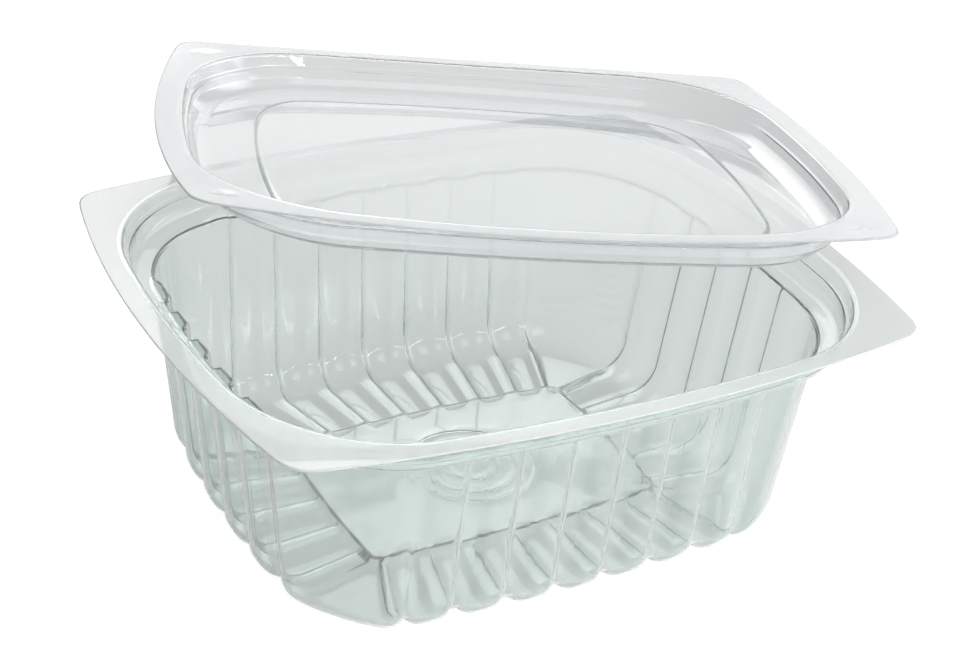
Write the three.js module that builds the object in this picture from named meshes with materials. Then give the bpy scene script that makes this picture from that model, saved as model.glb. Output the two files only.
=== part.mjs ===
// A clear thermoformed takeaway container: a fluted rectangular tub and its plug-in lid.
// Millimetres, +Z up, the tub's long sides along X. The lid has been lifted off: it lies askew over the back
// of the tub, tipped, with the underside of its recess on one corner tab of the tub's brim.
// Each of the two pieces is one thin shell. A shell is a stack of rings: every ring is a rectangle with bowed
// sides, written for the food side of the plastic, and the other face is the same stack moved by the wall.
import * as THREE from 'three';

// Plastic
const WALL = 0.5;

// Plan of every ring: sides are shallow arcs of these radii, and the brim's arcs would meet at BRIM_CORNER.
const LONG_SIDE_RADIUS = 491;
const SHORT_SIDE_RADIUS = 335;
const BRIM_HALF = { x: 95.0, y: 80.9 };
const BRIM_CORNER = { x: 87.0, y: 73.2 };
const TAB_TIP_SHARE = 0.08; // part of a corner's run, each way, that the round tip of a tab takes

// Tub
const RIM_HEIGHT = 67.4;
const MOUTH_HALF = { x: 88.3, y: 75.5 };
const LEDGE_HALF = { x: 79.9, y: 67.0 };
const LEDGE_HEIGHT = 57.3;
const LEDGE_SLOPE = 55;
const WALL_FOOT_HALF = { x: 74.8, y: 63.5 };
const FOOT_RADIUS = 11.5; // round edge between wall and floor
const FLOOR_HEIGHT = WALL; // food side of the floor's channels; their outside lies on the table
const PANEL_HALF = { x: 44.9, y: 31.0 }; // raised panel in the middle of the floor
const PANEL_HEIGHT = 3.4;
const PANEL_SLOPE = 80;
const PANEL_STEP = 0.8;
const PANEL_SQUEEZE = { foot: 0.86, top: 0.84 }; // how far the flutes draw together at the panel's edge

// Rim from the brim to the ledge: [inset from the mouth, height, slope in degrees from standing]. It rolls
// over the mouth's edge, steps in, and ends in the groove that the lid's plug snaps into.
const RIM_PROFILE = [
  [-1.0, RIM_HEIGHT, 90],
  [0.0, 66.8, 40],
  [0.6, 64.6, 10],
  [1.7, 63.7, 35],
  [1.7, 60.4, 5],
  [2.6, 59.0, 10],
  [3.8, 57.9, 60],
];

// Round edge between wall and floor: [degrees round it, fullness of the plain corners there]
const FOOT_STEPS = [[0, 0.5], [32, 0.4], [62, 0.28], [90, 0.22]];

// Fullness of a plain corner: how far its curve's handles reach towards the crossing of the sides' tangents
const FULLNESS = { mouth: 0.57, tubPanel: 0.5, lidPanel: 0.6 };

// Flutes: round channels that bulge outwards, parted by flat lands set in by the depth
const LONG_FLUTES = { count: 7, pitch: 14.1, width: 9.1 };
const SHORT_FLUTES = { count: 4, pitch: 15.0, width: 8.6 };
const DEPTH_AT_LEDGE = 1.8;
const DEPTH_AT_FOOT = 2.2;
const END_LAND = { long: 2.6, short: 6.2 }; // the land that parts the last flute from the plain corner

// Lid
const LID_CLEARANCE = 0.4; // between its plug and the tub's mouth
const LID_DEPTH = 9.2; // from the top of its brim to the top of its floor
const LID_PANEL_HALF = { x: 67.6, y: 57.2 };
const LID_PANEL_RISE = 0.4;
const TAB_LIFT = 2.1; // how far the lid's corner tabs curl up

// Plug from the lid's brim to its floor: [inset, height, slope, part of the tabs' curl that it takes]
const PLUG_PROFILE = [
  [-1.0, 0, 90, 0.9],
  [-0.1, -0.6, 40, 0.8],
  [0.5, -2.8, 10, 0.4],
  [1.5, -3.8, 30, 0],
  [1.2, -6.2, 0, 0],
  [2.2, -7.8, 10, 0],
  [3.4, -LID_DEPTH, 65, 0],
];
const LID_TURN_DEG = { x: -6.83, y: 3.197, z: -19.889 }; // about the tub's own Z last
// Place of the middle of the lid's brim, from the middle of the tub's foot
const LID_PLACE = { x: 20.34, y: 29.33, z: 87.69 };

const CLEAR_PLASTIC = { color: 0xdfe8e4, roughness: 0.12, metalness: 0, transparent: true, opacity: 0.45 };

// ---- plan: the columns in which every ring is cut ----

// Front, right, back and left, each run through anticlockwise
const SIDES = [
  { long: true, place: (along, out) => [along, -out] },
  { long: false, place: (along, out) => [out, along] },
  { long: true, place: (along, out) => [-along, out] },
  { long: false, place: (along, out) => [-out, -along] },
];

const CROWN_TO_LAND_CUTS = [-1, -0.55, 0, 0.55, 1]; // across one flute, in halves of its width
const FINE_CORNER_CUTS = [0.05, 0.2, 0.35, 0.5, 0.65, 0.8, 0.95];
const BRIM_CORNER_CUTS = [0.15, 0.32, 0.42, 0.47, 0.5, 0.53, 0.58, 0.68, 0.85];

const halfRun = (long) => {
  const flutes = long ? LONG_FLUTES : SHORT_FLUTES;
  const fluted = ((flutes.count - 1) * flutes.pitch + flutes.width) / 2;
  return fluted + (long ? END_LAND.long : END_LAND.short);
};

// Columns of one side: how far along it they are, and 1 on a land, 0 at the crown of a flute.
function sideColumns(long, fine) {
  const flutes = long ? LONG_FLUTES : SHORT_FLUTES;
  const end = halfRun(long);
  const columns = [{ along: -end, land: 1 }];
  const cuts = fine ? CROWN_TO_LAND_CUTS : [0];
  for (let i = 0; i < flutes.count; i += 1) {
    const centre = (i - (flutes.count - 1) / 2) * flutes.pitch;
    for (const cut of cuts) {
      columns.push({ along: centre + (cut * flutes.width) / 2, land: cut * cut });
    }
  }
  columns.push({ along: end, land: 1 });
  return columns;
}

// All columns round the plan. key grows evenly round the plan, so that loops of unlike cuts can be joined.
function planColumns(fine) {
  const columns = [];
  SIDES.forEach((side, index) => {
    const end = halfRun(side.long);
    for (const column of sideColumns(side.long, fine)) {
      columns.push({ ...column, side: index, key: 2 * index + (column.along + end) / (2 * end) });
    }
    for (const share of fine ? FINE_CORNER_CUTS : BRIM_CORNER_CUTS) {
      columns.push({ share, land: 0, side: index, key: 2 * index + 1 + share });
    }
  });
  return columns;
}

const FINE = planColumns(true);
const PLAIN = planColumns(false);

// ---- plan: one ring's outline ----

// A point of one side, with its outward normal. squeeze draws the columns in where a ring is small.
function sidePoint(half, side, along, squeeze = 1) {
  const radius = side.long ? LONG_SIDE_RADIUS : SHORT_SIDE_RADIUS;
  const reach = side.long ? half.y : half.x;
  const at = along * squeeze;
  const drop = radius - Math.sqrt(radius * radius - at * at);
  return { at: side.place(at, reach - drop), out: side.place(at / radius, 1 - drop / radius) };
}

const mix = (a, b, t) => [a[0] + (b[0] - a[0]) * t, a[1] + (b[1] - a[1]) * t];

// Where the tangents at the ends of two neighbouring sides cross.
function tangentCorner(first, second) {
  const [nx, ny] = first.out;
  const [mx, my] = second.out;
  const c = nx * first.at[0] + ny * first.at[1];
  const d = mx * second.at[0] + my * second.at[1];
  const det = nx * my - ny * mx;
  return [(c * my - d * ny) / det, (nx * d - mx * c) / det];
}

// A plain corner: a cubic curve that is as full as its ring says.
function roundCorner(ring, index, share) {
  const [near, far] = [SIDES[index], SIDES[(index + 1) % 4]];
  const a = sidePoint(ring.half, near, halfRun(near.long), ring.squeeze);
  const b = sidePoint(ring.half, far, -halfRun(far.long), ring.squeeze);
  const crossing = tangentCorner(a, b);
  const handles = [mix(a.at, crossing, ring.full), mix(b.at, crossing, ring.full)];
  const curve = new THREE.CubicBezierCurve(
    ...[a.at, handles[0], handles[1], b.at].map(([x, y]) => new THREE.Vector2(x, y)),
  );
  const tangent = curve.getTangent(share);
  return { at: curve.getPoint(share).toArray(), out: [tangent.y, -tangent.x] };
}

// A tab: both sides run on to their crossing, where a short round tip joins them.
function tabCorner(ring, index, share) {
  const [near, far] = [SIDES[index], SIDES[(index + 1) % 4]];
  const along = (side, part) => {
    const tip = side.long ? BRIM_CORNER.x : BRIM_CORNER.y;
    return halfRun(side.long) + (tip - halfRun(side.long)) * part;
  };
  const before = (part) => sidePoint(ring.half, near, along(near, part));
  const after = (part) => sidePoint(ring.half, far, -along(far, part));
  if (share < 0.5 - TAB_TIP_SHARE) return before(2 * share);
  if (share > 0.5 + TAB_TIP_SHARE) return after(2 * (1 - share));
  const end = 1 - 2 * TAB_TIP_SHARE;
  const [a, tip, b] = [before(end), before(1), after(end)];
  const t = (share - 0.5 + TAB_TIP_SHARE) / (2 * TAB_TIP_SHARE);
  return { at: mix(mix(a.at, tip.at, t), mix(tip.at, b.at, t), t), out: mix(a.out, b.out, t) };
}

function planPoint(ring, column) {
  if (column.share === undefined) {
    return sidePoint(ring.half, SIDES[column.side], column.along, ring.squeeze);
  }
  return ring.tab ? tabCorner(ring, column.side, column.share) : roundCorner(ring, column.side, column.share);
}

// ---- rings into a closed shell ----

// A ring's corner of the mesh. The skin's slope says which way its thickness and its flutes go: 0 degrees is
// a standing wall, 90 a flat floor. Lands are set in by the ring's depth.
function ringPoint(ring, column, thickness) {
  const { at, out } = planPoint(ring, column);
  const slope = THREE.MathUtils.degToRad(ring.slope);
  const length = Math.hypot(out[0], out[1]);
  const move = thickness - (ring.depth ?? 0) * column.land;
  const level = (move * Math.cos(slope)) / length;
  const curl = Math.min(1, (at[0] / BRIM_CORNER.x) ** 2) * Math.min(1, (at[1] / BRIM_CORNER.y) ** 2);
  return [
    at[0] + out[0] * level,
    at[1] + out[1] * level,
    ring.z - move * Math.sin(slope) + (ring.lift ?? 0) * curl,
  ];
}

// Triangles between two loops of vertices that need not have the same number of columns.
function joinLoops(first, second, faces) {
  let i = 0;
  let j = 0;
  const nextKey = (loop, at) => (at + 1 < loop.length ? loop[at + 1].key : loop[0].key + 8);
  while (i < first.length || j < second.length) {
    const a = first[i % first.length].index;
    const b = second[j % second.length].index;
    const firstMoves = j >= second.length || (i < first.length && nextKey(first, i) <= nextKey(second, j));
    if (firstMoves) {
      i += 1;
      faces.push([a, b, first[i % first.length].index]);
    } else {
      j += 1;
      faces.push([a, b, second[j % second.length].index]);
    }
  }
}

// A closed shell from its rings, brim first and middle last.
function shell(rings) {
  const vertices = [];
  const faces = [];
  const loop = (ring, thickness) => ring.columns.map((column) => {
    vertices.push(ringPoint(ring, column, thickness));
    return { index: vertices.length - 1, key: column.key };
  });
  const skin = (thickness, turned) => {
    const loops = rings.map((ring) => loop(ring, thickness));
    const found = [];
    for (let i = 1; i < loops.length; i += 1) joinLoops(loops[i - 1], loops[i], found);
    vertices.push([0, 0, rings.at(-1).z - thickness]);
    const last = loops.at(-1);
    last.forEach(({ index }, i) => {
      found.push([index, vertices.length - 1, last[(i + 1) % last.length].index]);
    });
    faces.push(...found.map(([a, b, c]) => (turned ? [a, b, c] : [a, c, b])));
    return loops[0];
  };
  joinLoops(skin(0, false), skin(WALL, true), faces);
  const geometry = new THREE.BufferGeometry();
  geometry.setAttribute('position', new THREE.Float32BufferAttribute(vertices.flat(), 3));
  geometry.setIndex(faces.flat());
  geometry.computeVertexNormals();
  return geometry;
}

const inset = (half, by) => ({ x: half.x - by, y: half.y - by });

function tubRings() {
  const rim = ([by, z, slope]) => (
    { columns: PLAIN, half: inset(MOUTH_HALF, by), z, slope, full: FULLNESS.mouth }
  );
  const centre = inset(WALL_FOOT_HALF, FOOT_RADIUS);
  const foot = ([angle, full]) => {
    const turn = THREE.MathUtils.degToRad(angle);
    return {
      columns: FINE,
      half: inset(centre, -FOOT_RADIUS * Math.cos(turn)),
      z: FLOOR_HEIGHT + FOOT_RADIUS * (1 - Math.sin(turn)),
      slope: angle,
      depth: DEPTH_AT_FOOT,
      full,
    };
  };
  return [
    { columns: PLAIN, half: BRIM_HALF, z: RIM_HEIGHT, slope: 90, tab: true },
    ...RIM_PROFILE.map(rim),
    {
      columns: FINE, half: LEDGE_HALF, z: LEDGE_HEIGHT, slope: LEDGE_SLOPE,
      depth: DEPTH_AT_LEDGE, full: FULLNESS.mouth,
    },
    ...FOOT_STEPS.map(foot),
    {
      columns: FINE, half: inset(PANEL_HALF, -PANEL_STEP), z: FLOOR_HEIGHT, slope: 90,
      depth: DEPTH_AT_FOOT, full: FULLNESS.tubPanel, squeeze: PANEL_SQUEEZE.foot,
    },
    {
      columns: FINE, half: PANEL_HALF, z: PANEL_HEIGHT, slope: PANEL_SLOPE,
      full: FULLNESS.tubPanel, squeeze: PANEL_SQUEEZE.top,
    },
  ];
}

function lidRings() {
  const plug = ([by, z, slope, curl]) => ({
    columns: PLAIN,
    half: inset(MOUTH_HALF, LID_CLEARANCE + WALL + by),
    z,
    slope,
    lift: curl * TAB_LIFT,
    full: FULLNESS.mouth,
  });
  const panel = (by, z) => (
    { columns: PLAIN, half: inset(LID_PANEL_HALF, by), z, slope: 90, full: FULLNESS.lidPanel }
  );
  return [
    { columns: PLAIN, half: BRIM_HALF, z: 0, slope: 90, lift: TAB_LIFT, tab: true },
    ...PLUG_PROFILE.map(plug),
    panel(0, -LID_DEPTH),
    panel(LID_PANEL_RISE, LID_PANEL_RISE - LID_DEPTH),
  ];
}

// ---- the two pieces ----

function piece(name, rings) {
  const mesh = new THREE.Mesh(shell(rings), new THREE.MeshStandardMaterial(CLEAR_PLASTIC));
  mesh.name = name;
  return mesh;
}

const tub = piece('tub', tubRings());
const lid = piece('lid', lidRings());
lid.rotation.set(
  ...[LID_TURN_DEG.x, LID_TURN_DEG.y, LID_TURN_DEG.z].map(THREE.MathUtils.degToRad),
  'ZYX',
);
lid.position.copy(LID_PLACE);

// The origin is at the middle of the foot of the whole object's box.
const container = new THREE.Group();
container.add(tub, lid);
container.updateMatrixWorld(true);
const box = new THREE.Box3().setFromObject(container, true);
container.position.set(-(box.min.x + box.max.x) / 2, -(box.min.y + box.max.y) / 2, -box.min.z);

export default container;
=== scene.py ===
"""A clear thermoformed takeaway tub with fluted walls, and its plug-in lid lying askew over it.

Each of the two pieces is one thin closed shell. A shell starts as rings, one after the other along a
profile from the brim inwards. Every ring is a rectangle with bowed sides, cut into the same columns.
Lengths are in millimetres until a shell is placed in the frame, which is in metres, as the stage is.
"""
import math

import bpy
from mathutils import Euler, Matrix, Vector


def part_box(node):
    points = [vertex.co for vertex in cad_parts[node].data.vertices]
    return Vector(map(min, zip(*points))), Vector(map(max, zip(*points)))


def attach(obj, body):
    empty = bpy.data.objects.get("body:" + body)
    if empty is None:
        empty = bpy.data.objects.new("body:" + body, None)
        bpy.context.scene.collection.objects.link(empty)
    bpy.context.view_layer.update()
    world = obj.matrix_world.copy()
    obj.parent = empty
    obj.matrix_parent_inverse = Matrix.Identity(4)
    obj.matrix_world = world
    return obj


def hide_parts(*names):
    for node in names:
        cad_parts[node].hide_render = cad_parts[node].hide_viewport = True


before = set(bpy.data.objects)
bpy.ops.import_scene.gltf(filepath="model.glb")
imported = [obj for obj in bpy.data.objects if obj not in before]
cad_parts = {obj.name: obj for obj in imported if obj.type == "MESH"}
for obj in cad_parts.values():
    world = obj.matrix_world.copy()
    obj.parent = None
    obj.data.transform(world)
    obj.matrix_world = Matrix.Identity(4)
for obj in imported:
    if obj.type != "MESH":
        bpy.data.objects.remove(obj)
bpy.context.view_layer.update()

MM = 0.001

# ---- driving dimensions, in millimetres ----

SHEET = 0.5

# Plan: the sides are shallow arcs, and the brim's arcs would meet at BRIM_CORNER. A tab's round tip takes
# up TAB_TIP_SHARE of the corner's run on either side of there.
LONG_SIDE_RADIUS = 491.0
SHORT_SIDE_RADIUS = 335.0
BRIM_HALF = (95.0, 80.9)
BRIM_CORNER = (87.0, 73.2)
TAB_TIP_SHARE = 0.08

# Flutes: count, pitch and width on a long and on a short side, and the land beside the last one
LONG_FLUTES = (7, 14.1, 9.1, 2.6)
SHORT_FLUTES = (4, 15.0, 8.6, 6.2)
FLUTE_ROUND = 2.2 # 1 is an even wave, more is a flatter crown with quicker sides
DEPTH_AT_LEDGE = 1.8
DEPTH_AT_FOOT = 2.2

# How full the plain corners are, from 0, a straight cut, to 1, nearly sharp. Round the foot, fullness
# changes with the angle that the skin has turned from standing, in degrees.
MOUTH_FULL = 0.57
FOOT_FULL = ((0.0, 0.5), (32.0, 0.4), (62.0, 0.28), (90.0, 0.22))
PANEL_FULL = 0.5
LID_PANEL_FULL = 0.6

# Tub: half sizes at the middle of the sides, and heights on the food side
RIM_HEIGHT = 67.4
MOUTH_HALF = (88.3, 75.5)
MOUTH_ROUND_OUT = 1.6 # the rounding of the mouth's edge starts this far outside the mouth
LEDGE_INSET = 6.4
LEDGE_OUTER_HEIGHT = RIM_HEIGHT - 9.9
LEDGE_HALF = (79.9, 67.0)
LEDGE_HEIGHT = 57.3
LEDGE_ROUND = 0.7
WALL_FOOT_HALF = (74.8, 63.5)
FOOT_RADIUS = 11.5
FLOOR_HEIGHT = SHEET
PANEL_HALF = (44.9, 31.0)
PANEL_HEIGHT = 3.4
PANEL_WALL_RUN = 0.8 # how far the foot of the panel's low wall lies outside its top

# Rim, from the mouth's edge over the snap groove to the ledge: (inset from the mouth, height, corner radius)
RIM_PROFILE = (
    (-MOUTH_ROUND_OUT, RIM_HEIGHT, 0.0),
    (0.0, RIM_HEIGHT, 1.1),
    (0.7, RIM_HEIGHT - 3.1, 0.7),
    (1.8, RIM_HEIGHT - 3.8, 0.5),
    (1.8, RIM_HEIGHT - 7.0, 0.8),
    (2.6, RIM_HEIGHT - 8.8, 0.6),
    (3.8, RIM_HEIGHT - 9.5, 0.8),
    (LEDGE_INSET, LEDGE_OUTER_HEIGHT, 0.0),
)

# On the ledge the lands step in at this slope from standing, and round its inner edge they follow this
# share of the edge's turn. Towards the panel the flutes draw together, to these shares of their spacing.
LEDGE_LAND_SLOPE_DEG = 60
EDGE_TURN_SHARE = 0.7
PANEL_FOOT_SQUEEZE = 0.86
PANEL_WALL_SQUEEZE = 0.85

# Plain rings pressed into the middle of the panel: radii, half width and height
RIPPLES = (17.5, 13.5, 7.0)
RIPPLE_HALF_WIDTH = 0.9
RIPPLE_HEIGHT = 0.35

# Lid: depths count down from its brim
LID_INSET = 0.9 # how much smaller than the tub's mouth its plug is all round, on the food side
LID_DEPTH = 9.2
LID_FLOOR_INSET = 8.0
LID_PANEL_HALF = (67.6, 57.2)
LID_PANEL_RISE = 0.6
LID_PANEL_STEP_HALF_WIDTH = 0.5
TAB_LIFT = 2.1 # how far the corner tabs curl up
TAB_LIFT_FADE_DEPTH = 3.7 # how far down the plug the curl has gone

# On the short sides the rounding to the lid's floor is wider by this much, and starts at this depth
LID_END_ROUND = 3.0
LID_END_ROUND_TOP = 5.5
LID_END_ROUND_POWER = 1.5

# Plug, from the mouth's edge over the snap bead to the floor: (inset from the mouth, height, corner radius)
PLUG_PROFILE = (
    (-MOUTH_ROUND_OUT, 0.0, 0.0),
    (-0.1, 0.0, 1.1),
    (0.5, -3.0, 0.7),
    (1.5, -3.7, 0.5),
    (1.2, -6.2, 1.0),
    (2.2, -8.2, 0.8),
    (3.6, -LID_DEPTH, 1.6),
    (LID_FLOOR_INSET, -LID_DEPTH, 0.0),
)

# One small oval dimple in each corner of the lid's brim
DIMPLE_AT = (79.5, 64.5)
DIMPLE_HALF = (4.4, 1.7)
DIMPLE_DEPTH = 0.3

# How the lid lies over the tub, from the middle of the tub's foot
LID_TURN_DEG = (-6.83, 3.197, -19.889)
LID_PLACE = (20.34, 29.33, 87.69)

# Camera, from the middle of the tub's foot
CAMERA_AIM = (11.50, 16.38, 35.86)
CAMERA_DISTANCE = 546.3
CAMERA_AZIMUTH_DEG = -30.735
CAMERA_ELEVATION_DEG = 29.095
CAMERA_ROLL_DEG = 4.821
CAMERA_LENS = 72.35
CAMERA_SENSOR = 36.0

# ---- how finely the shells are cut ----

# Columns: across a flute, in halves of its width, and along a corner, as shares of its run, with close cuts
# where the last land steps out to the plain corner
FLUTE_CUTS = (-1.15, -1.04, -0.92, -0.8, -0.67, -0.48, 0.0, 0.48, 0.67, 0.8, 0.92, 1.04, 1.15)
CORNER_STEP_SHARE = 0.22
CORNER_STEP_CUTS = (0.025, 0.05, 0.08, 0.11, 0.14)
CORNER_ROUND_START = 0.18
CORNER_ROUND_CUTS = 20
CORNER_CUTS = (
    CORNER_STEP_CUTS
    + tuple(
        CORNER_ROUND_START + (1 - 2 * CORNER_ROUND_START) * cut / (CORNER_ROUND_CUTS - 1)
        for cut in range(CORNER_ROUND_CUTS)
    )
    + tuple(1 - cut for cut in reversed(CORNER_STEP_CUTS))
)

# Rings: each is at a share of the way across its part of the profile, or at an angle of its rounding
TUB_BRIM_SHARES = (0.0, 0.04, 0.25, 0.5, 0.75) # the second keeps the edge's shading narrow
LID_BRIM_RINGS = 26 # fine enough for the dimples
LID_BRIM_SHARES = tuple(step / LID_BRIM_RINGS for step in range(LID_BRIM_RINGS))
LEDGE_SHARES = (0.25, 0.5, 0.75, 0.88)
LEDGE_EDGE_ANGLES = (75, 60, 45, 30, 15)
WALL_SHARES = (0.0, 0.02, 0.05) + tuple(step / 12 for step in range(1, 12)) + (0.97,)
FOOT_STEPS = 16
FLOOR_SHARES = (0.25, 0.5, 0.75, 0.92, 1.0)
PANEL_WALL_DEPTHS = ((0.4, 1.6), (0.75, 0.6), (0.92, 0.2), (1.0, 0.0)) # with the flutes' depth at each
PANEL_EDGE_SHARE = 0.98
TO_CIRCLE_SHARES = (0.35, 0.7)
RIPPLE_OFFSETS = (1.0, 0.8, 0.4, 0.0, -0.4, -0.8, -1.0)
PANEL_MIDDLE_RADII = (3.0, 1.0)
CIRCLE_RADII = tuple(at + offset for at in RIPPLES for offset in RIPPLE_OFFSETS) + PANEL_MIDDLE_RADII
LID_FLOOR_SHARES = (0.4, 0.8)
LID_STEP_SHARES = (0.0, 0.35, 0.65, 1.0)
LID_PANEL_SHARES = (PANEL_EDGE_SHARE, 0.8, 0.6, 0.4, 0.2)
FILLET_STEPS = 3
FILLET_REACH = 0.48 # a corner's rounding takes up at most this share of either line beside it

# ---- plan: columns ----

FRONT, RIGHT, BACK, LEFT = range(4)
LONG_SIDES = (FRONT, BACK)


def flutes_of(side):
    return LONG_FLUTES if side in LONG_SIDES else SHORT_FLUTES


def half_run(side):
    count, pitch, width, end_land = flutes_of(side)
    return ((count - 1) * pitch + width) / 2 + end_land


def wave(t):
    """Runs smoothly from 0 at a flute's crown, where t is 0, to 1 on the land, from t = 1 on."""
    return (1 - math.cos(math.pi * min(1.0, t) ** FLUTE_ROUND)) / 2


def side_columns(side):
    """How far along the side each column is, and 1 on a land, 0 at the crown of a flute."""
    count, pitch, width, _ = flutes_of(side)
    end = half_run(side)
    columns = [(-end, 1.0)]
    for flute in range(count):
        centre = (flute - (count - 1) / 2) * pitch
        columns += [(centre + cut * width / 2, wave(abs(cut) / FLUTE_CUTS[-1])) for cut in FLUTE_CUTS]
    columns.append((end, 1.0))
    return columns


def corner_land(share):
    """The last land of each side steps out to the plain corner within the first and last part of its run."""
    return wave(max(0.0, 1 - min(share, 1 - share) / CORNER_STEP_SHARE))


def plan_columns():
    """All columns round the plan, as (side, how far along it, share of the corner after it, land)."""
    columns = []
    for side in range(4):
        columns += [(side, along, None, land) for along, land in side_columns(side)]
        columns += [(side, None, share, corner_land(share)) for share in CORNER_CUTS]
    return columns


COLUMNS = plan_columns()

# ---- plan: one ring's outline ----


def placed(side, along, out):
    """A point of a side, written along it anticlockwise and outwards, as x and y."""
    return ((along, -out), (out, along), (-along, out), (-out, -along))[side]


def side_point(half, side, along, squeeze=1.0):
    """A point on a side's arc and its outward normal."""
    radius = LONG_SIDE_RADIUS if side in LONG_SIDES else SHORT_SIDE_RADIUS
    reach = half[1] if side in LONG_SIDES else half[0]
    at = along * squeeze
    drop = radius - math.sqrt(radius * radius - at * at)
    out = Vector(placed(side, at / radius, 1 - drop / radius)).normalized()
    return Vector(placed(side, at, reach - drop)), out


def round_corner(half, side, share, full, squeeze):
    """A plain corner's place and normal at a share of its run. It is a cubic curve whose handles reach the
    part `full` of the way to where the sides' tangents cross."""
    after = (side + 1) % 4
    start, start_out = side_point(half, side, half_run(side), squeeze)
    end, end_out = side_point(half, after, -half_run(after), squeeze)
    start_line, end_line = start_out.dot(start), end_out.dot(end)
    det = start_out.x * end_out.y - start_out.y * end_out.x
    crossing = Vector((
        (start_line * end_out.y - end_line * start_out.y) / det,
        (start_out.x * end_line - end_out.x * start_line) / det,
    ))
    a, b = start.lerp(crossing, full), end.lerp(crossing, full)
    t, s = share, 1 - share
    at = s ** 3 * start + 3 * s * s * t * a + 3 * s * t * t * b + t ** 3 * end
    run = s * s * (a - start) + 2 * s * t * (b - a) + t * t * (end - b)
    return at, Vector((run.y, -run.x)).normalized()


def tab_corner(side, share):
    """A tab of the brim: both sides run on to their crossing, where a short round tip joins them."""
    after = (side + 1) % 4

    def on(which, part, sign):
        tip = BRIM_CORNER[0] if which in LONG_SIDES else BRIM_CORNER[1]
        return side_point(BRIM_HALF, which, sign * (half_run(which) + (tip - half_run(which)) * part))

    if share < 0.5 - TAB_TIP_SHARE:
        return on(side, 2 * share, 1)
    if share > 0.5 + TAB_TIP_SHARE:
        return on(after, 2 * (1 - share), -1)
    t = (share - 0.5 + TAB_TIP_SHARE) / (2 * TAB_TIP_SHARE)
    part = 1 - 2 * TAB_TIP_SHARE
    (a, a_out), (tip, _), (b, b_out) = on(side, part, 1), on(side, 1, 1), on(after, part, -1)
    return a.lerp(tip, t).lerp(tip.lerp(b, t), t), a_out.lerp(b_out, t).normalized()


def outline(half, full, squeeze=1.0):
    """Every column's place and outward normal on a ring with plain corners."""
    points = []
    for side, along, share, _ in COLUMNS:
        if share is None:
            points.append(side_point(half, side, along, squeeze))
        else:
            points.append(round_corner(half, side, share, full, squeeze))
    return points


def brim_outline():
    """The same round the brim, with its tabs."""
    points = []
    for side, along, share, _ in COLUMNS:
        points.append(side_point(BRIM_HALF, side, along) if share is None else tab_corner(side, share))
    return points


# ---- rings ----


def inset(half, by):
    return (half[0] - by, half[1] - by)


def mix(a, b, t):
    return a + (b - a) * t


def mix_pair(a, b, t):
    return (mix(a[0], b[0], t), mix(a[1], b[1], t))


def curl(at):
    """How much of the tabs' lift a point takes: 0 in the middle of the plan, 1 at the brim's corners."""
    return min(1.0, (at.x / BRIM_CORNER[0]) ** 2) * min(1.0, (at.y / BRIM_CORNER[1]) ** 2)


def ring(half, z, full, slope_deg=0.0, depth=0.0, squeeze=1.0, lift=0.0):
    """A ring's points. Lands are set in by the depth, square to a skin of that slope from standing."""
    slope = math.radians(slope_deg)
    points = []
    for (at, out), (_, _, _, land) in zip(outline(half, full, squeeze), COLUMNS):
        step_in = depth * land
        moved = at - out * (step_in * math.cos(slope))
        points.append(Vector((moved.x, moved.y, z + step_in * math.sin(slope) + lift * curl(at))))
    return points


def drawn_in(points, share):
    """The same ring drawn in towards the middle."""
    return [Vector((point.x * share, point.y * share, point.z)) for point in points]


def towards_circle(points, radius, t):
    """The same ring moved part of the way to a circle round the middle."""
    moved = []
    for point in points:
        flat = Vector((point.x, point.y))
        at = flat.lerp(flat.normalized() * radius, t)
        moved.append(Vector((at.x, at.y, point.z)))
    return moved


def ripple(radius):
    """0 between the rings pressed into the panel, 1 on top of one."""
    nearest = min(abs(radius - at) for at in RIPPLES)
    return max(0.0, 1 - (nearest / RIPPLE_HALF_WIDTH) ** 2)


def dimple(at):
    """How deep the small dimples in the lid's corners are at a point of its plan."""
    across = (abs(at.x) - DIMPLE_AT[0]) / DIMPLE_HALF[0]
    along = (abs(at.y) - DIMPLE_AT[1]) / DIMPLE_HALF[1]
    return DIMPLE_DEPTH * max(0.0, 1 - (across * across + along * along) ** 2)


def flange(inner_half, z, full, lift, shares, sink=lambda at: 0.0):
    """Rings from the brim's edge in towards the round of the mouth's edge, each at a share of the way."""
    outer = brim_outline()
    inner = outline(inner_half, full)
    rings = []
    for t in shares:
        points = []
        for (a, _), (b, _) in zip(outer, inner):
            at = a.lerp(b, t)
            points.append(Vector((at.x, at.y, z + lift * curl(at) - sink(at))))
        rings.append(points)
    return rings


def filleted(corners):
    """A profile's corners, written as (inset, height, radius), as points with each corner rounded."""
    points = []
    for index, (x, z, radius) in enumerate(corners):
        here = Vector((x, z))
        if radius == 0 or index in (0, len(corners) - 1):
            points.append(here)
            continue
        before = Vector(corners[index - 1][:2]) - here
        after = Vector(corners[index + 1][:2]) - here
        half_angle = before.angle(after) / 2
        back = min(radius / math.tan(half_angle), before.length * FILLET_REACH, after.length * FILLET_REACH)
        start, end = here + before.normalized() * back, here + after.normalized() * back
        for step in range(FILLET_STEPS + 1):
            t = step / FILLET_STEPS
            points.append(start.lerp(here, t).lerp(here.lerp(end, t), t))
    return points


# ---- shells ----


def new_object(name, vertices, faces):
    mesh = bpy.data.meshes.new(name)
    mesh.from_pydata(vertices, [], faces)
    mesh.validate()
    mesh.polygons.foreach_set("use_smooth", [True] * len(mesh.polygons))
    piece = bpy.data.objects.new(name, mesh)
    bpy.context.scene.collection.objects.link(piece)
    return piece


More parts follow.
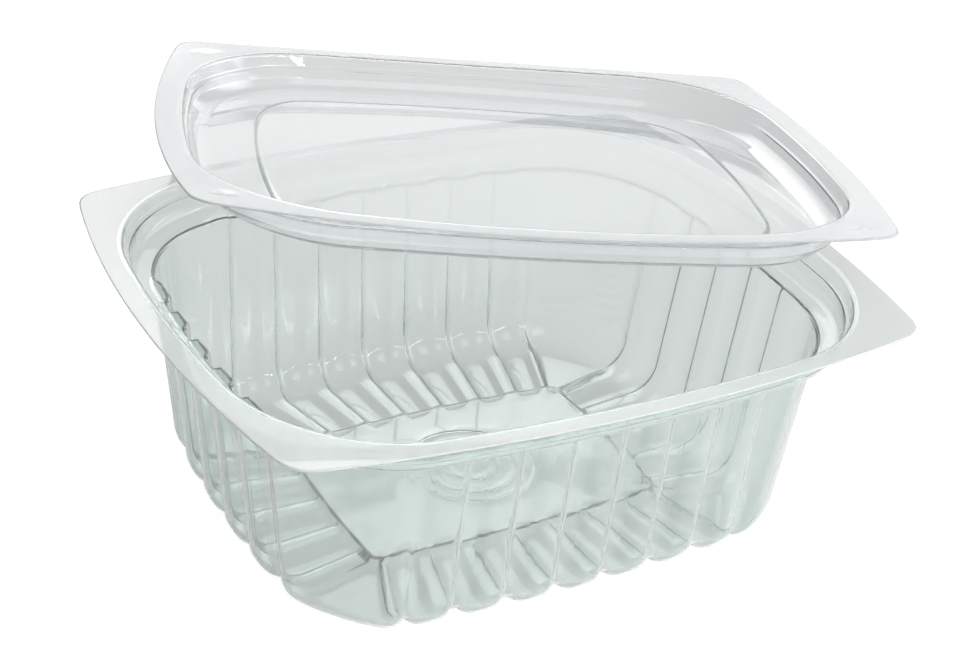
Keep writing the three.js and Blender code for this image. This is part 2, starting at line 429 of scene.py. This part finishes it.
def shell(name, rings, brim_rings, to_frame):
    """One closed piece from its food side's rings, brim first and middle last. A real sheet stays thick in
    the brim, which isn't drawn down, so the first rings take the piece's second, milkier material."""
    count = len(COLUMNS)
    vertices = [to_frame @ (point * MM) for points in rings for point in points]
    faces = []
    for upper in range(len(rings) - 1):
        for column in range(count):
            a = upper * count + column
            b = upper * count + (column + 1) % count
            faces.append((a, b, b + count, a + count))
    last = (len(rings) - 1) * count
    middle = Vector((0, 0, sum(point.z for point in rings[-1]) / count))
    vertices.append(to_frame @ (middle * MM))
    faces += [(last + column, last + (column + 1) % count, len(vertices) - 1) for column in range(count)]
    piece = new_object(name, vertices, faces)
    brim_faces = brim_rings * count
    piece.data.polygons.foreach_set("material_index", [int(face < brim_faces) for face in range(len(faces))])
    thickness = piece.modifiers.new("sheet", "SOLIDIFY")
    thickness.thickness = SHEET * MM
    thickness.offset = -1.0
    thickness.use_rim = True
    bpy.context.view_layer.objects.active = piece
    piece.select_set(True)
    bpy.ops.object.modifier_apply(modifier=thickness.name)
    piece.select_set(False)
    return piece


def full_at(angle):
    """Fullness of the plain corners round the foot."""
    for (a, full_a), (b, full_b) in zip(FOOT_FULL, FOOT_FULL[1:]):
        if angle <= b:
            return mix(full_a, full_b, (angle - a) / (b - a))
    return FOOT_FULL[-1][1]


def ledge_rings():
    """The ledge, whose inner edge takes up the flutes and rounds over into the wall."""
    rings = []
    for t in LEDGE_SHARES:
        half = mix_pair(inset(MOUTH_HALF, LEDGE_INSET), LEDGE_HALF, t)
        z = mix(LEDGE_OUTER_HEIGHT, LEDGE_HEIGHT, t)
        rings.append(ring(half, z, MOUTH_FULL, LEDGE_LAND_SLOPE_DEG, DEPTH_AT_LEDGE * t ** 2))
    for angle in LEDGE_EDGE_ANGLES:
        turn = math.radians(angle)
        half = inset(LEDGE_HALF, LEDGE_ROUND * (math.cos(turn) - 1))
        z = LEDGE_HEIGHT - LEDGE_ROUND * (1 - math.sin(turn))
        rings.append(ring(half, z, MOUTH_FULL, angle * EDGE_TURN_SHARE, DEPTH_AT_LEDGE))
    return rings


def wall_rings():
    rings = []
    for t in WALL_SHARES:
        half = mix_pair(LEDGE_HALF, WALL_FOOT_HALF, t)
        z = mix(LEDGE_HEIGHT - LEDGE_ROUND, FLOOR_HEIGHT + FOOT_RADIUS, t)
        full = mix(MOUTH_FULL, FOOT_FULL[0][1], t)
        rings.append(ring(half, z, full, 0, mix(DEPTH_AT_LEDGE, DEPTH_AT_FOOT, t)))
    return rings


def foot_rings(centre):
    """The foot's rounding, down to the floor at the half size `centre`. The flutes run down it."""
    rings = []
    for step in range(FOOT_STEPS + 1):
        angle = 90 * step / FOOT_STEPS
        turn = math.radians(angle)
        half = inset(centre, -FOOT_RADIUS * math.cos(turn))
        z = FLOOR_HEIGHT + FOOT_RADIUS * (1 - math.sin(turn))
        rings.append(ring(half, z, full_at(angle), angle, DEPTH_AT_FOOT))
    return rings


def floor_rings(centre):
    """The fluted floor ring and the panel's low wall, on which the flutes fade out."""
    rings = []
    panel_foot = inset(PANEL_HALF, -PANEL_WALL_RUN)
    for t in FLOOR_SHARES:
        half = mix_pair(centre, panel_foot, t)
        full = mix(FOOT_FULL[-1][1], PANEL_FULL, t)
        rings.append(ring(half, FLOOR_HEIGHT, full, 90, DEPTH_AT_FOOT, mix(1.0, PANEL_FOOT_SQUEEZE, t)))
    for t, depth in PANEL_WALL_DEPTHS:
        half = mix_pair(panel_foot, PANEL_HALF, t)
        z = mix(FLOOR_HEIGHT, PANEL_HEIGHT, t)
        rings.append(ring(half, z, PANEL_FULL, 90, depth, PANEL_WALL_SQUEEZE))
    return rings


def panel_rings(panel_top):
    """The panel from its edge inwards, which turns into circles with the rings pressed into it."""
    rings = [drawn_in(panel_top, PANEL_EDGE_SHARE)]
    rings += [towards_circle(rings[-1], CIRCLE_RADII[0], t) for t in TO_CIRCLE_SHARES]
    for radius in CIRCLE_RADII:
        circle = towards_circle(rings[-1], radius, 1.0)
        height = PANEL_HEIGHT + RIPPLE_HEIGHT * ripple(radius)
        rings.append([Vector((point.x, point.y, height)) for point in circle])
    return rings


def tub_rings():
    rings = flange(inset(MOUTH_HALF, -MOUTH_ROUND_OUT), RIM_HEIGHT, MOUTH_FULL, 0.0, TUB_BRIM_SHARES)
    rings += [ring(inset(MOUTH_HALF, by), z, MOUTH_FULL) for by, z in filleted(RIM_PROFILE)]
    rings += ledge_rings()
    rings += wall_rings()
    centre = inset(WALL_FOOT_HALF, FOOT_RADIUS)
    rings += foot_rings(centre)
    rings += floor_rings(centre)
    return rings + panel_rings(rings[-1])


def lid_rings():
    mouth = inset(MOUTH_HALF, LID_INSET)
    rings = flange(inset(mouth, -MOUTH_ROUND_OUT), 0.0, MOUTH_FULL, TAB_LIFT, LID_BRIM_SHARES, dimple)
    for by, z in filleted(PLUG_PROFILE):
        lift = TAB_LIFT * max(0.0, 1 + z / TAB_LIFT_FADE_DEPTH)
        round_share = (-z - LID_END_ROUND_TOP) / (LID_DEPTH - LID_END_ROUND_TOP)
        end_round = LID_END_ROUND * min(1.0, max(0.0, round_share)) ** LID_END_ROUND_POWER
        rings.append(ring((mouth[0] - by - end_round, mouth[1] - by), z, MOUTH_FULL, lift=lift))
    floor_edge = (mouth[0] - LID_FLOOR_INSET - LID_END_ROUND, mouth[1] - LID_FLOOR_INSET)
    for t in LID_FLOOR_SHARES:
        rings.append(ring(mix_pair(floor_edge, LID_PANEL_HALF, t), -LID_DEPTH, LID_PANEL_FULL))
    for t in LID_STEP_SHARES:
        half = inset(LID_PANEL_HALF, mix(-LID_PANEL_STEP_HALF_WIDTH, LID_PANEL_STEP_HALF_WIDTH, t))
        rings.append(ring(half, LID_PANEL_RISE * wave(t) - LID_DEPTH, LID_PANEL_FULL))
    rings += [drawn_in(rings[-1], share) for share in LID_PANEL_SHARES]
    return rings


# ---- materials ----

# How clear each plastic is and how strong its haze is, its tint at its palest, at its deepest and seen
# edge-on, and where its noise starts. The brims are milkier, because the sheet isn't drawn thin there.
PLASTICS = {
    "tub_plastic": (0.93, 1.0, (0.91, 0.965, 0.945), (0.88, 0.94, 0.92), (0.80, 0.89, 0.86), 0.0),
    "tub_brim_plastic": (0.5, 0.0, (0.93, 0.955, 0.945), (0.90, 0.93, 0.92), (0.86, 0.91, 0.89), 7.0),
    "lid_plastic": (0.9, 0.0, (0.92, 0.935, 0.94), (0.89, 0.91, 0.915), (0.70, 0.74, 0.75), 3.0),
    "lid_brim_plastic": (0.62, 0.0, (0.90, 0.92, 0.925), (0.87, 0.895, 0.90), (0.80, 0.84, 0.85), 9.0),
}
PLASTIC_IOR = 1.55
HAZE_ROUGHNESS = 0.35
EDGE_TINT_BLEND = 0.25

# Noise, as scale, detail, lowest and highest: the tint's mottling, the roughness, and the fine waviness
# from forming, with how strong and how deep its bump is
TINT_NOISE = (18, 3, 0.0, 1.0)
ROUGHNESS_NOISE = (45, 4, 0.02, 0.06)
WAVINESS_NOISE = (60, 2, 0.0, 1.0)
WAVINESS_STRENGTH = 0.05
WAVINESS_DEPTH = 0.4 * MM


def clear_plastic(name):
    """Clear food-tray sheet: faint tint, deeper where it is seen edge-on through more of its thickness, a
    pale haze on surfaces that turn away, and a fine waviness from forming."""
    clear, haze, light, dark, edge, seed = PLASTICS[name]
    material = bpy.data.materials.new(name)
    material.use_nodes = True
    nodes, links = material.node_tree.nodes, material.node_tree.links
    shader = nodes["Principled BSDF"]
    shader.inputs["Transmission Weight"].default_value = clear
    shader.inputs["IOR"].default_value = PLASTIC_IOR
    shader.inputs["Sheen Weight"].default_value = haze
    shader.inputs["Sheen Roughness"].default_value = HAZE_ROUGHNESS
    place = nodes.new("ShaderNodeTexCoord")
    shift = nodes.new("ShaderNodeMapping")
    shift.inputs["Location"].default_value = (seed, seed, seed)
    links.new(place.outputs["Object"], shift.inputs["Vector"])

    def noise(scale, detail, low, high):
        texture = nodes.new("ShaderNodeTexNoise")
        texture.inputs["Scale"].default_value = scale
        texture.inputs["Detail"].default_value = detail
        links.new(shift.outputs["Vector"], texture.inputs["Vector"])
        levels = nodes.new("ShaderNodeMapRange")
        levels.inputs["To Min"].default_value = low
        levels.inputs["To Max"].default_value = high
        links.new(texture.outputs["Fac"], levels.inputs["Value"])
        return levels.outputs["Result"]

    tint = nodes.new("ShaderNodeMix")
    tint.data_type = "RGBA"
    tint.inputs["A"].default_value = (*light, 1)
    tint.inputs["B"].default_value = (*dark, 1)
    links.new(noise(*TINT_NOISE), tint.inputs["Factor"])
    slant = nodes.new("ShaderNodeLayerWeight")
    slant.inputs["Blend"].default_value = EDGE_TINT_BLEND
    deepen = nodes.new("ShaderNodeMix")
    deepen.data_type = "RGBA"
    deepen.inputs["B"].default_value = (*edge, 1)
    links.new(slant.outputs["Facing"], deepen.inputs["Factor"])
    links.new(tint.outputs["Result"], deepen.inputs["A"])
    links.new(deepen.outputs["Result"], shader.inputs["Base Color"])
    links.new(noise(*ROUGHNESS_NOISE), shader.inputs["Roughness"])
    bump = nodes.new("ShaderNodeBump")
    bump.inputs["Strength"].default_value = WAVINESS_STRENGTH
    bump.inputs["Distance"].default_value = WAVINESS_DEPTH
    links.new(noise(*WAVINESS_NOISE), bump.inputs["Height"])
    links.new(bump.outputs["Normal"], shader.inputs["Normal"])
    return material


# ---- the two pieces ----

tub_low, tub_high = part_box("tub")
tub_origin = Vector(((tub_low.x + tub_high.x) / 2, (tub_low.y + tub_high.y) / 2, tub_low.z))
tub_place = Matrix.Translation(tub_origin)
lid_turn = Euler([math.radians(angle) for angle in LID_TURN_DEG], "XYZ").to_matrix().to_4x4()
lid_place = Matrix.Translation(tub_origin + Vector(LID_PLACE) * MM) @ lid_turn

tub = shell("tub_shell", tub_rings(), len(TUB_BRIM_SHARES), tub_place)
tub.data.materials.append(clear_plastic("tub_plastic"))
tub.data.materials.append(clear_plastic("tub_brim_plastic"))
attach(tub, "root")
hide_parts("tub")

lid = shell("lid_shell", lid_rings(), len(LID_BRIM_SHARES), lid_place)
lid.data.materials.append(clear_plastic("lid_plastic"))
lid.data.materials.append(clear_plastic("lid_brim_plastic"))
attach(lid, "root")
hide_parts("lid")

# ---- floor, light and camera, in metres ----

FLOOR_HALF_SIZE = 20.0
FLOOR_DROP = 0.2 * MM
FLOOR_GREY = 0.25
FLOOR_ROUGHNESS = 0.9
FLOOR_GLOW_SEEN = 0.9
FLOOR_GLOW_IN_PLASTIC = 0.53

# Soft glows on the dim studio round the object: heading from straight behind it towards the right and
# height, how far out each is full and where it ends, all in degrees, and how much it adds
WORLD_DIM = 0.3
GLOWS = (
    (18, 34, 12, 24, 2.5),
    (30, 6, 14, 24, 1.0),
    (97, 10, 14, 30, 3.4),
)

# Lamps: place, aim, size, power in watts, and whether the plastic mirrors it
LAMPS = {
    "fill": ((-0.1, -0.75, 0.85), (0, 0, 0.05), (0.9, 0.5), 3.2, False),
    "front_strip": ((0.5, -0.86, 0.40), (0, 0, 0.03), (1.2, 0.03), 12, True),
}

# Enough for light to pass both walls of the tub and of the lid
BOUNCES = 18
GLOSSY_BOUNCES = 6


def make_floor():
    signs = ((-1, -1), (1, -1), (1, 1), (-1, 1))
    corners = [(x * FLOOR_HALF_SIZE, y * FLOOR_HALF_SIZE, 0) for x, y in signs]
    floor = new_object("floor", corners, [(0, 1, 2, 3)])
    floor.location.z = -FLOOR_DROP
    material = bpy.data.materials.new("pale_floor")
    material.use_nodes = True
    shader = material.node_tree.nodes["Principled BSDF"]
    shader.inputs["Base Color"].default_value = (FLOOR_GREY, FLOOR_GREY, FLOOR_GREY, 1)
    shader.inputs["Roughness"].default_value = FLOOR_ROUGHNESS
    shader.inputs["Emission Color"].default_value = (1, 1, 1, 1)
    # The floor itself is blown out to white, and what the plastic bends and mirrors of it is a soft grey.
    rays = material.node_tree.nodes.new("ShaderNodeLightPath")
    glow = material.node_tree.nodes.new("ShaderNodeMapRange")
    glow.inputs["To Min"].default_value = FLOOR_GLOW_IN_PLASTIC
    glow.inputs["To Max"].default_value = FLOOR_GLOW_SEEN
    material.node_tree.links.new(rays.outputs["Is Camera Ray"], glow.inputs["Value"])
    material.node_tree.links.new(glow.outputs["Result"], shader.inputs["Emission Strength"])
    floor.data.materials.append(material)


def make_light(name, place, aim, size, power, mirrored):
    data = bpy.data.lights.new(name, "AREA")
    data.shape = "RECTANGLE"
    data.size, data.size_y = size
    data.energy = power
    light = bpy.data.objects.new(name, data)
    light.location = place
    light.visible_camera = False
    light.visible_glossy = mirrored
    light.rotation_euler = (Vector(aim) - Vector(place)).to_track_quat("-Z", "Y").to_euler()
    bpy.context.scene.collection.objects.link(light)


def make_world():
    world = bpy.data.worlds.new("studio")
    world.use_nodes = True
    nodes, links = world.node_tree.nodes, world.node_tree.links
    background = nodes["Background"]
    background.inputs["Color"].default_value = (1.0, 1.0, 1.0, 1)
    direction = nodes.new("ShaderNodeTexCoord")
    strength = nodes.new("ShaderNodeMath") # every Math node here adds
    strength.inputs[0].default_value = WORLD_DIM
    strength.inputs[1].default_value = 0.0
    for heading_deg, height_deg, full_deg, edge_deg, extra in GLOWS:
        heading, height = math.radians(heading_deg), math.radians(height_deg)
        towards = nodes.new("ShaderNodeVectorMath")
        towards.operation = "DOT_PRODUCT"
        towards.inputs[1].default_value = (
            math.sin(heading) * math.cos(height),
            math.cos(heading) * math.cos(height),
            math.sin(height),
        )
        links.new(direction.outputs["Generated"], towards.inputs[0])
        fade = nodes.new("ShaderNodeMapRange")
        fade.interpolation_type = "SMOOTHSTEP"
        fade.inputs["From Min"].default_value = math.cos(math.radians(edge_deg))
        fade.inputs["From Max"].default_value = math.cos(math.radians(full_deg))
        fade.inputs["To Max"].default_value = extra
        links.new(towards.outputs["Value"], fade.inputs["Value"])
        total = nodes.new("ShaderNodeMath")
        links.new(strength.outputs["Value"], total.inputs[0])
        links.new(fade.outputs["Result"], total.inputs[1])
        strength = total
    # Seen directly, the studio is as white as the floor, so that no horizon shows behind the object.
    rays = nodes.new("ShaderNodeLightPath")
    seen = nodes.new("ShaderNodeMath")
    links.new(strength.outputs["Value"], seen.inputs[0])
    links.new(rays.outputs["Is Camera Ray"], seen.inputs[1])
    links.new(seen.outputs["Value"], background.inputs["Strength"])
    bpy.context.scene.world = world


def make_camera():
    azimuth, elevation, roll = (
        math.radians(a) for a in (CAMERA_AZIMUTH_DEG, CAMERA_ELEVATION_DEG, CAMERA_ROLL_DEG)
    )
    back = Vector((
        math.sin(azimuth) * math.cos(elevation),
        -math.cos(azimuth) * math.cos(elevation),
        math.sin(elevation),
    ))
    right = Vector((math.cos(azimuth), math.sin(azimuth), 0))
    up = back.cross(right)
    turned_right = right * math.cos(roll) + up * math.sin(roll)
    turned_up = up * math.cos(roll) - right * math.sin(roll)
    data = bpy.data.cameras.new("camera")
    data.lens = CAMERA_LENS
    data.sensor_width = CAMERA_SENSOR
    camera = bpy.data.objects.new("camera", data)
    turn = Matrix((turned_right, turned_up, back)).transposed()
    at = tub_origin + (Vector(CAMERA_AIM) + back * CAMERA_DISTANCE) * MM
    camera.matrix_world = Matrix.Translation(at) @ turn.to_4x4()
    bpy.context.scene.collection.objects.link(camera)
    bpy.context.scene.camera = camera


make_floor()
make_world()
for lamp, settings in LAMPS.items():
    make_light(lamp, *settings)
make_camera()

scene = bpy.context.scene
scene.view_settings.view_transform = "Standard"
scene.cycles.max_bounces = BOUNCES
scene.cycles.transmission_bounces = BOUNCES
scene.cycles.glossy_bounces = GLOSSY_BOUNCES
